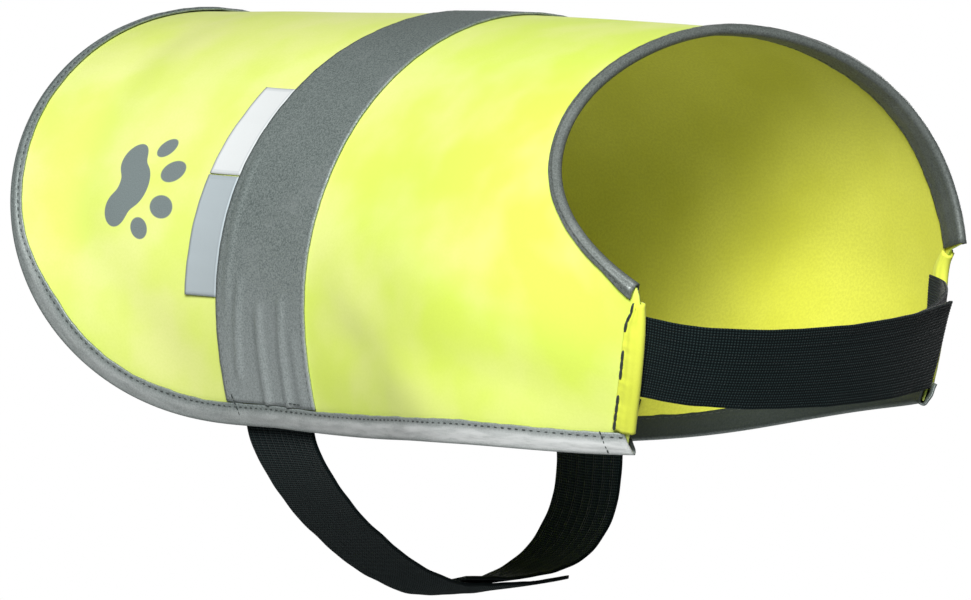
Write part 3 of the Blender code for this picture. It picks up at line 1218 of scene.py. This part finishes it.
@dataclass
class Bindings:
    """The reflective tape folded over the hem and over the neck scoop, each with its seam."""

    hem_leaf: float = 0.0080
    tail_leaf: float = 0.0042
    tail_leaf_ends: Pair = (0.150, 0.190)
    neck_leaves: Pair = (0.0024, 0.0115)
    neck_cut_leaf: float = 0.0040
    neck_cut_length: float = 0.030
    neck_flare: float = 0.0020
    neck_flare_length: float = 0.016
    end_seam: float = 0.0075
    end_seam_past: Pair = (0.0005, 0.0012)
    end_seam_points: int = 8
    step: float = 0.0020
    outer_stitch: Stitch = Stitch(0.0017, 0.00060)
    inner_stitch: Stitch = Stitch()
    end_stitch: Stitch = Stitch(0.0015, 0.00060, 0.0019)

    def hem_outside(self, path: np.ndarray) -> np.ndarray:
        """Widths of the hem binding's outer leaf: narrower round the tail, where the edge rolls under."""
        share = smooth(np.abs(path[:, 1]), *self.tail_leaf_ends)
        return self.tail_leaf + (self.hem_leaf - self.tail_leaf) * share

    def neck_inside(self, path: np.ndarray) -> np.ndarray:
        """Widths of the neck binding's inner leaf: wide, but cut narrow at its right end."""
        full = smooth(distances(path), 0, self.neck_cut_length)
        return self.neck_cut_leaf + (self.neck_leaves[1] - self.neck_cut_leaf) * full

    def build(self, finishes: Finishes) -> list[Piece]:
        """Makes both bindings and the stitches that hold them, outside and inside.

        Args:
            finishes: The vest's materials.

        Returns:
            The pieces made.
        """
        made = []
        hem = CUT.hem_path(WALLS.fold_middle + WALLS.trim / 2, self.step)
        neck = CUT.neck_path(self.step)
        outside = self.hem_outside(hem)
        flare = self.neck_flare * (1 - smooth(distances(neck), 0, self.neck_flare_length))
        hem_strip = FoldedStrip(hem, -1.0, (outside, 2 * self.hem_leaf - outside), 0.4)
        neck_strip = FoldedStrip(neck, 1.0, (self.neck_leaves[0] + flare, self.neck_inside(neck)), 1.9)
        runs = (
            ("hem_binding", finishes.hem_tape, hem_strip),
            ("neck_binding", finishes.shaded_neck_tape, neck_strip),
        )
        rows = (
            ("_seam", self.outer_stitch, WALLS.trim_face),
            ("_seam_inside", self.inner_stitch, WALLS.panel - WALLS.trim_face),
        )
        for node, finish, strip in runs:
            tape, size = strip.piece((node + "_tape", node), "reflective_cloth", finish)
            seams = []
            for width, (ending, stitch, face) in zip(strip.widths, rows):
                seam = strip.inside(width - strip.sewn_at)
                seams.append(stitch.sew(node + ending, seam, face, finishes.grey_thread, "reflective_cloth"))
            made += [tape, *seams]
        return made + self.end_seams(finishes, hem)

    def end_seams(self, finishes: Finishes, hem: np.ndarray) -> list[Piece]:
        """Short dark rows across the hem binding near its two ends.

        Args:
            finishes: The vest's materials.
            hem: The flat path of the hem binding.

        Returns:
            The pieces made.
        """
        made = []
        before, past = self.end_seam_past
        down = np.linspace(-before, self.hem_leaf + past, self.end_seam_points)[:, None]
        near = int(round(self.end_seam / self.step))
        for side, at in ((Side.RIGHT, near), (Side.LEFT, -1 - near)):
            row = hem[at] + down * inward(hem, -1.0)[at]
            name = f"hem_end_seam_{side.name.lower()}"
            seam = self.end_stitch.sew(name, row, WALLS.puffed_face, finishes.dark_thread, "dark_elastic")
            made.append(seam)
        return made


@dataclass
class ReflectiveBand:
    """The wide reflective band over the back, with the soft ridges of a tape that has been bent."""

    rear: float = -0.0254
    front: float = 0.0268
    ease: float = 0.0104
    eased: float = 0.140
    foot: float = 0.0085
    columns: int = 36
    rows: int = 240
    wall: float = 0.0008
    inset: float = 0.0019
    groove: float = 0.00022
    groove_width: float = 0.0008
    ripple: float = 0.00012
    ripple_period: float = 0.011
    ripple_reach: float = 0.003
    thread_sink: float = 0.00018
    seam_points: int = 500
    stitch: Stitch = Stitch(pitch=0.0032)
    tack_stitch: Stitch = Stitch(0.0021, 0.00050, 0.0024)
    tack_rows: tuple[tuple[Pair, Pair], ...] = (
        ((-0.0215, 0.2085), (-0.0185, 0.2180)),
        ((0.0095, 0.2105), (0.0190, 0.2105)),
    )
    creases: tuple[Fold, ...] = (
        Fold((-0.0193, -0.118), (-0.0190, -0.172), 0.0011, 0.00065),
        Fold((-0.0150, -0.200), (-0.0120, -0.166), 0.0015, 0.00080),
        Fold((-0.0010, -0.212), (-0.0005, -0.176), 0.0017, 0.00100),
        Fold((0.0112, -0.212), (0.0125, -0.172), 0.0015, 0.00090),
        Fold((0.0200, -0.208), (0.0195, -0.185), 0.0014, 0.00050),
        Fold((-0.0060, 0.211), (-0.0050, 0.178), 0.0019, 0.00065),
        Fold((0.0100, 0.211), (0.0115, 0.170), 0.0017, 0.00055),
        Fold((-0.0190, 0.110), (-0.0188, 0.160), 0.0012, 0.00045),
    )

    def rear_edge(self, v: np.ndarray) -> np.ndarray:
        """The u of the band's rear edge, eased forward over the ridge by a smooth step."""
        return self.rear + self.ease * (1 - smooth(np.abs(v), 0, self.eased))

    def build(self, finishes: Finishes) -> list[Piece]:
        """Makes the band, its two seams and the bar tacks at its feet.

        Args:
            finishes: The vest's materials.

        Returns:
            The pieces made.
        """
        first, last = (side.value * (CUT.front(side).half - self.foot) for side in Side)
        v = np.linspace(first, last, self.rows + 1)
        share = np.linspace(0, 1, self.columns + 1)[:, None]
        u = self.rear_edge(v) + (self.front - self.rear_edge(v)) * share
        v = np.broadcast_to(v, u.shape)
        edge = np.minimum(u - self.rear_edge(v), self.front - u)
        lift = sum(fold.rise(u, v) for fold in self.creases)
        lift += self.ripple * wander(v, self.ripple_period, 0.3) * np.exp(-((edge / self.ripple_reach) ** 2))
        lift -= self.groove * np.exp(-(((edge - self.inset) / self.groove_width) ** 2))
        points, flat = FORM.place(u, v, WALLS.on_panel + lift), np.stack([u, v], -1)
        band = sheet_piece("reflective_band_tape", points, flat, self.wall, 1.0, finishes.tape)
        declare(band, ("reflective_band",))
        face = WALLS.on_panel + self.wall - self.thread_sink
        run = np.linspace(first, last, self.seam_points)
        rows = (
            ("band_seam_rear", self.rear_edge(run) + self.inset),
            ("band_seam_front", self.front - self.inset),
        )
        seams = []
        for name, at in rows:
            path = np.stack(np.broadcast_arrays(at, run), -1)
            seams.append(self.stitch.sew(name, path, face, finishes.tape_thread, "reflective_cloth"))
        size = (self.front - self.rear, last - first)
        return [band, *seams, *self.tacks(finishes)]

    def tacks(self, finishes: Finishes) -> list[Piece]:
        """Short rows of dark stitches where the belly straps are sewn on behind the band's feet.

        Args:
            finishes: The vest's materials.

        Returns:
            The pieces made.
        """
        made = []
        for side in Side:
            for number, ends in enumerate(self.tack_rows, 1):
                name = f"strap_tack_{side.name.lower()}_{number}"
                row = np.array(ends) * (1.0, side.value)
                thread = finishes.dark_thread
                made.append(self.tack_stitch.sew(name, row, WALLS.puffed_face, thread, "dark_elastic"))
        return made


@dataclass
class Labels:
    """Two blank labels on the right side, tucked under the band's rear edge."""

    width: float = 0.0170
    wall: float = 0.0005
    rows: int = 18
    columns: int = 40
    curl: float = 0.00045
    curl_power: float = 2.2
    wave: float = 0.00015
    wave_period: float = 0.022
    phase_per_metre: float = 90.0
    places: tuple[tuple[str, str, Pair], ...] = (
        ("woven_label", "white_label", (0.0850, 0.1240)),
        ("silver_label", "silver_label", (0.1246, 0.1708)),
    )

    def build(self, finishes: Finishes, band: ReflectiveBand) -> list[Piece]:
        """Makes both labels; the free rear edge of each stands a little off the cloth.

        Args:
            finishes: The vest's materials.
            band: The band that they are tucked under.

        Returns:
            The pieces made.
        """
        made = []
        for (node, slot, (first, last)), finish in zip(self.places, (finishes.white, finishes.silver)):
            v = -np.linspace(last, first, self.columns)
            share = np.linspace(0, 1, self.rows)[:, None]
            u = band.rear_edge(v) - WALLS.gap - self.width * (1 - share)
            v = np.broadcast_to(v, u.shape)
            wave = self.wave * wander(v, self.wave_period, first * self.phase_per_metre) * (1 - share)
            points = FORM.place(u, v, WALLS.on_panel + (self.curl * (1 - share) ** self.curl_power + wave))
            flat = np.stack(np.broadcast_arrays(share * self.width, -first - v), -1)
            label = declare(sheet_piece(node + "_cloth", points, flat, self.wall, 1.0, finish), (node,))
            last - first
            made.append(label)
        return made


@dataclass
class FrontTurnings:
    """The front edges below the neck, turned back on themselves and sewn with dark thread."""

    width: float = 0.0052
    wall: float = 0.0009
    puff: float = 0.0006
    pucker: float = 0.0003
    top_clearance: float = 0.0016
    foot_clearance: float = 0.0004
    taper: float = 0.010
    narrowest: float = 0.32
    seam: float = 0.0046
    step: float = 0.0012
    stitch: Stitch = Stitch(0.0046, 0.00120, 0.0038, sunk_below=-0.25)

    def build(self, finishes: Finishes, bindings: Bindings) -> list[Piece]:
        """Makes a turning and its dark seam on each side.

        Args:
            finishes: The vest's materials.
            bindings: The bindings that each turning runs between.

        Returns:
            The pieces made.
        """
        made = []
        neck = CUT.neck_path(bindings.step)
        for side, end in ((Side.RIGHT, 0), (Side.LEFT, -1)):
            name = side.name.lower()
            cut = inward(neck, 1.0)[end] * bindings.neck_inside(neck)[end]
            foot = CUT.width_at(CUT.front_edge(1.0, side), side)
            first = abs(neck[end, 1]) + abs(cut[1]) + self.top_clearance
            last = foot - bindings.hem_leaf - self.foot_clearance
            path = CUT.front_path(side, first, last, self.step)
            full = self.narrowest + (1 - self.narrowest) * smooth(distances(path), 0, self.taper)
            widths = (self.width * full, self.width * full)
            strip = FoldedStrip(path, side.value, widths, 3.0 + side.value, self.wall, self.puff, self.pucker)
            names = (f"front_turning_{name}_cloth", f"front_turning_{name}")
            turning, size = strip.piece(names, "yellow_cloth", finishes.turning)
            row = strip.inside(self.seam * full)
            thread = self.stitch.sew(
                f"front_seam_{name}", row, WALLS.puffed_face, finishes.dark_thread, "dark_elastic"
            )
            made += [turning, thread]
        return made


@dataclass(frozen=True)
class StrapEdge:
    """One edge of a strap's loop: where it meets the two sides, how its middle is pushed, and how it ends."""

    right: float
    left: float
    push: tuple[float, float, float]
    squareness: Pair
    free_end: float = 0.0

    def row(self) -> np.ndarray:
        """All the edge's numbers in one row, so that edges can be blended."""
        return np.array([self.right, self.left, *self.push, *self.squareness, self.free_end])


@dataclass
class Strap:
    """A length of ribbed elastic, sewn inside an edge of the panel and taken on round a loop."""

    name: str
    own: Side
    edges: tuple[StrapEdge, StrapEdge]
    span: Pair
    on_chest: bool
    sewn_in: float
    phase: float
    past_edge: float = 0.0032
    wall: float = 0.0013
    rows: int = 150
    lines: int = 9
    columns: int = 128
    end_lift: float = 0.0
    end_points: int = 6
    easing: int = 60
    rib: float = 0.0011
    rib_height: float = 0.00010
    edge_wave: float = 0.0003
    edge_wave_period: float = 0.034
    edge_wave_reach: float = 0.005

    def met(self, side: Side, at: float) -> np.ndarray:
        """The sewn points of a line of the strap on one side, from inside the panel to past its edge.

        Args:
            side: The side of the ridge.
            at: Distance from the ridge for a chest strap, place along the hem for a belly strap.

        Returns:
            Points from the inner end of the seam outwards.
        """
        inset = np.append(self.sewn_in * np.array([1, 0.75, 0.5, 0]), -self.past_edge)
        if self.on_chest:
            share = at / CUT.width_at(CUT.front(side).edge, side)
            u, v = CUT.front_edge(share, side) - inset, side.value * at
        else:
            u, v = at, side.value * (CUT.width_at(at, side) - inset)
        outside = self.on_chest and self.own is Side.RIGHT and side is Side.LEFT
        return FORM.place(u, v, WALLS.strap_outside if outside else WALLS.strap_inside, folded=False)

    def line(self, row: np.ndarray) -> np.ndarray:
        """One line along the strap: its seam, its part of the loop, and a straight free end.

        The loop is half of a superellipse between its two ends, with its middle pushed out.

        Args:
            row: The numbers of a StrapEdge.

        Returns:
            Points along the line, from the seam to the free end.
        """
        right, left, push, squareness, free_end = row[0], row[1], row[2:5], row[5:7], row[7]
        sewn_right, sewn_left = self.met(Side.RIGHT, right), self.met(Side.LEFT, left)
        start, end = sewn_right[-1], sewn_left[-1]
        angle = np.radians(np.linspace(*self.span, self.rows))[:, None]
        power = 2 / np.where(angle < np.pi / 2, *squareness)
        along = -np.sign(np.cos(angle)) * np.abs(np.cos(angle)) ** power
        run = (start + end) / 2 + (end - start) / 2 * along + push * np.abs(np.sin(angle)) ** power
        if self.own is Side.LEFT:
            return np.concatenate([sewn_left, run[-2::-1]])
        tip = run[-1] - run[-2]
        share = np.linspace(0.2, 1, self.end_points)[:, None]
        straight = run[-1] + share * free_end * tip / np.linalg.norm(tip)
        return np.concatenate([sewn_right, run[1:], straight + share**2 * (0, 0, self.end_lift)])

    def surface(self) -> tuple[np.ndarray, np.ndarray]:
        """The strap's middle: lines blended from edge to edge, eased, and lifted by ribs and a wave.

        Returns:
            The grid of places, and the grid of flat places along and across the strap.
        """
        rows = np.linspace(self.edges[0].row(), self.edges[1].row(), self.lines)
        fair = [eased(evened(self.line(row), self.rows), self.easing) for row in rows]
        coarse = np.stack(fair, 1)
        share = np.linspace(0, 1, self.columns + 1) * (self.lines - 1)
        low = np.minimum(share.astype(int), self.lines - 2)
        part = (share - low)[None, :, None]
        points = coarse[:, low] * (1 - part) + coarse[:, low + 1] * part
        along = distances(points[:, self.columns // 2])
        across = distances(points[len(points) // 2])
        normals = grid_normals(points)
        ribs = self.rib_height * np.cos(2 * np.pi * across / self.rib)
        rim = np.minimum(across, across[-1] - across)
        wave = self.edge_wave * wander(along, self.edge_wave_period, self.phase)[:, None]
        wave = wave * np.exp(-((rim / self.edge_wave_reach) ** 2))
        points = points + (ribs[None, :] + wave)[..., None] * normals
        return points, np.stack(np.broadcast_arrays(along[:, None], across[None, :]), -1)

    def build(self, finishes: Finishes) -> list[Piece]:
        """Makes the strap.

        Args:
            finishes: The vest's materials.

        Returns:
            The pieces made.
        """
        points, flat = self.surface()
        strap = sheet_piece(self.name + "_elastic", points, flat, self.wall, 0.0, finishes.elastic)
        declare(strap, (self.name,))
        return [strap]


STRAPS = (
    Strap(
        "chest_strap_right",
        Side.RIGHT,
        (
            StrapEdge(0.1560, 0.1525, (0.0470, 0, -0.0095), (1.9, 1.8), 0.007),
            StrapEdge(0.1895, 0.1850, (0.0430, 0, -0.0085), (1.9, 1.8), 0.001),
        ),
        span=(0.0, 114.0),
        on_chest=True,
        sewn_in=0.007,
        phase=0.5,
    ),
    Strap(
        "chest_strap_left",
        Side.LEFT,
        (
            StrapEdge(0.1585, 0.1600, (0.0440, 0, -0.0080), (1.9, 1.45)),
            StrapEdge(0.1870, 0.1850, (0.0400, 0, -0.0080), (1.9, 1.45)),
        ),
        span=(94.0, 180.0),
        on_chest=True,
        sewn_in=0.004,
        phase=1.7,
    ),
    Strap(
        "belly_strap_right",
        Side.RIGHT,
        (
            StrapEdge(-0.0220, -0.0220, (0, 0.010, -0.0640), (1.53, 2.7), 0.028),
            StrapEdge(0.0160, 0.0160, (0, 0, -0.0580), (1.42, 3.4), 0.028),
        ),
        span=(0.0, 100.0),
        on_chest=False,
        sewn_in=0.015,
        phase=2.9,
        end_lift=0.0013,
    ),
    Strap(
        "belly_strap_left",
        Side.LEFT,
        (
            StrapEdge(-0.0185, -0.0185, (0, 0.010, -0.0610), (1.53, 2.2)),
            StrapEdge(0.0182, 0.0182, (0, 0, -0.0552), (1.42, 3.3)),
        ),
        span=(90.0, 180.0),
        on_chest=False,
        sewn_in=0.015,
        phase=4.1,
    ),
)


@dataclass(frozen=True)
class Lamp:
    """A soft square light: its place aside, above and towards the camera, its side length and its watts."""

    name: str
    aside: float
    above: float
    toward: float
    size: float
    power: float


@dataclass
class Studio:
    """A pale floor well below the vest, a white surround, soft lights and the camera."""

    azimuth: float = 48.0
    elevation: float = 0.6657
    roll: float = 2.154
    distance: float = 2.6572
    focal: float = 7505.5
    frame_width: int = 971
    target: tuple[float, float, float] = (0.2, -0.1791, -0.1072)
    sensor: float = 36.0
    reach: float = 50.0
    middle: tuple[float, float, float] = (0.03, 0.0, -0.09)
    lamps: tuple[Lamp, ...] = (
        Lamp("key", -0.25, 1.05, 2.2, 1.0, 84.0),
        Lamp("far", 0.90, 0.45, -2.1, 1.4, 30.0),
    )
    fill: float = 0.03
    floor_height: float = -0.90
    floor_radius: float = 1.0
    floor_sides: int = 96
    floor_grey: float = 0.72

    def directions(self) -> tuple[Vector, Vector, Vector]:
        """The camera's right, up and back directions, with its roll."""
        turn, lift, roll = (math.radians(angle) for angle in (self.azimuth, self.elevation, self.roll))
        back = Vector((math.sin(turn) * math.cos(lift), -math.cos(turn) * math.cos(lift), math.sin(lift)))
        right = Vector((math.cos(turn), math.sin(turn), 0.0))
        up = back.cross(right)
        rolled_right = right * math.cos(roll) + up * math.sin(roll)
        return rolled_right, up * math.cos(roll) - right * math.sin(roll), back

    def camera(self) -> None:
        """Puts the camera at the photograph's angle and distance."""
        right, up, back = self.directions()
        data = bpy.data.cameras.new("camera")
        data.sensor_width = self.sensor
        data.lens = self.focal * self.sensor / self.frame_width
        data.clip_end = self.reach
        camera = linked("camera", data)
        turned = Matrix((right, up, back)).transposed()
        camera.matrix_world = Matrix.Translation(Vector(self.target) + back * self.distance) @ turned.to_4x4()
        bpy.context.scene.camera = camera

    def light(self, lamp: Lamp) -> None:
        """Puts a lamp round the vest's middle and turns it to face it.

        Args:
            lamp: The lamp.
        """
        right, up, back = self.directions()
        middle = Vector(self.middle)
        data = bpy.data.lights.new(lamp.name, "AREA")
        data.size = lamp.size
        data.energy = lamp.power
        light = linked(lamp.name, data)
        light.location = middle + right * lamp.aside + up * lamp.above + back * lamp.toward
        light.rotation_mode = "QUATERNION"
        light.rotation_quaternion = (middle - light.location).to_track_quat("-Z", "Y")

    def surround(self) -> None:
        """A surround that is white to the eye and softer as a light."""
        world = bpy.data.worlds.new("surround")
        world.use_nodes = True
        tree = world.node_tree
        ground, seen = tree.nodes["Background"], tree.nodes.new("ShaderNodeBackground")
        for shader, strength in ((ground, self.fill), (seen, 1.0)):
            shader.inputs["Color"].default_value = (1.0, 1.0, 1.0, 1.0)
            shader.inputs["Strength"].default_value = strength
        path = tree.nodes.new("ShaderNodeLightPath")
        choose = tree.nodes.new("ShaderNodeMixShader")
        for number, given in enumerate((path.outputs["Is Camera Ray"], ground.outputs[0], seen.outputs[0])):
            tree.links.new(given, choose.inputs[number])
        tree.links.new(choose.outputs[0], tree.nodes["World Output"].inputs[0])
        bpy.context.scene.world = world

    def floor(self) -> None:
        """A round pale floor."""
        turn = np.linspace(0, 2 * np.pi, self.floor_sides, endpoint=False)
        height = np.full(self.floor_sides, self.floor_height)
        rim = np.stack([self.floor_radius * np.cos(turn), self.floor_radius * np.sin(turn), height], -1)
        pale = FinishSheet("pale_floor").finish({"Base Color": (self.floor_grey,) * 3, "Roughness": 0.9})
        mesh_piece("floor", rim, [list(range(self.floor_sides))], pale)

    def build(self) -> None:
        """Sets up the camera, the lights, the surround and the floor."""
        self.camera()
        for lamp in self.lamps:
            self.light(lamp)
        self.surround()
        self.floor()
        bpy.context.scene.view_settings.view_transform = "Standard"


def main() -> None:
    """Builds the vest piece by piece and reports each."""
    logging.basicConfig(level=logging.INFO, format="%(name)s: %(message)s")
    Studio().build()
    finishes = Finishes()
    band = ReflectiveBand()
    made = BackPanel().build(finishes) + band.build(finishes) + Labels().build(finishes, band)
    bindings = Bindings()
    made += bindings.build(finishes) + FrontTurnings().build(finishes, bindings)
    for strap in STRAPS:
        made += strap.build(finishes)
    for piece in made:
        LOG.info("%s: %d vertices", piece.name, len(piece.data.vertices))


if __name__ == "__main__":
    main()
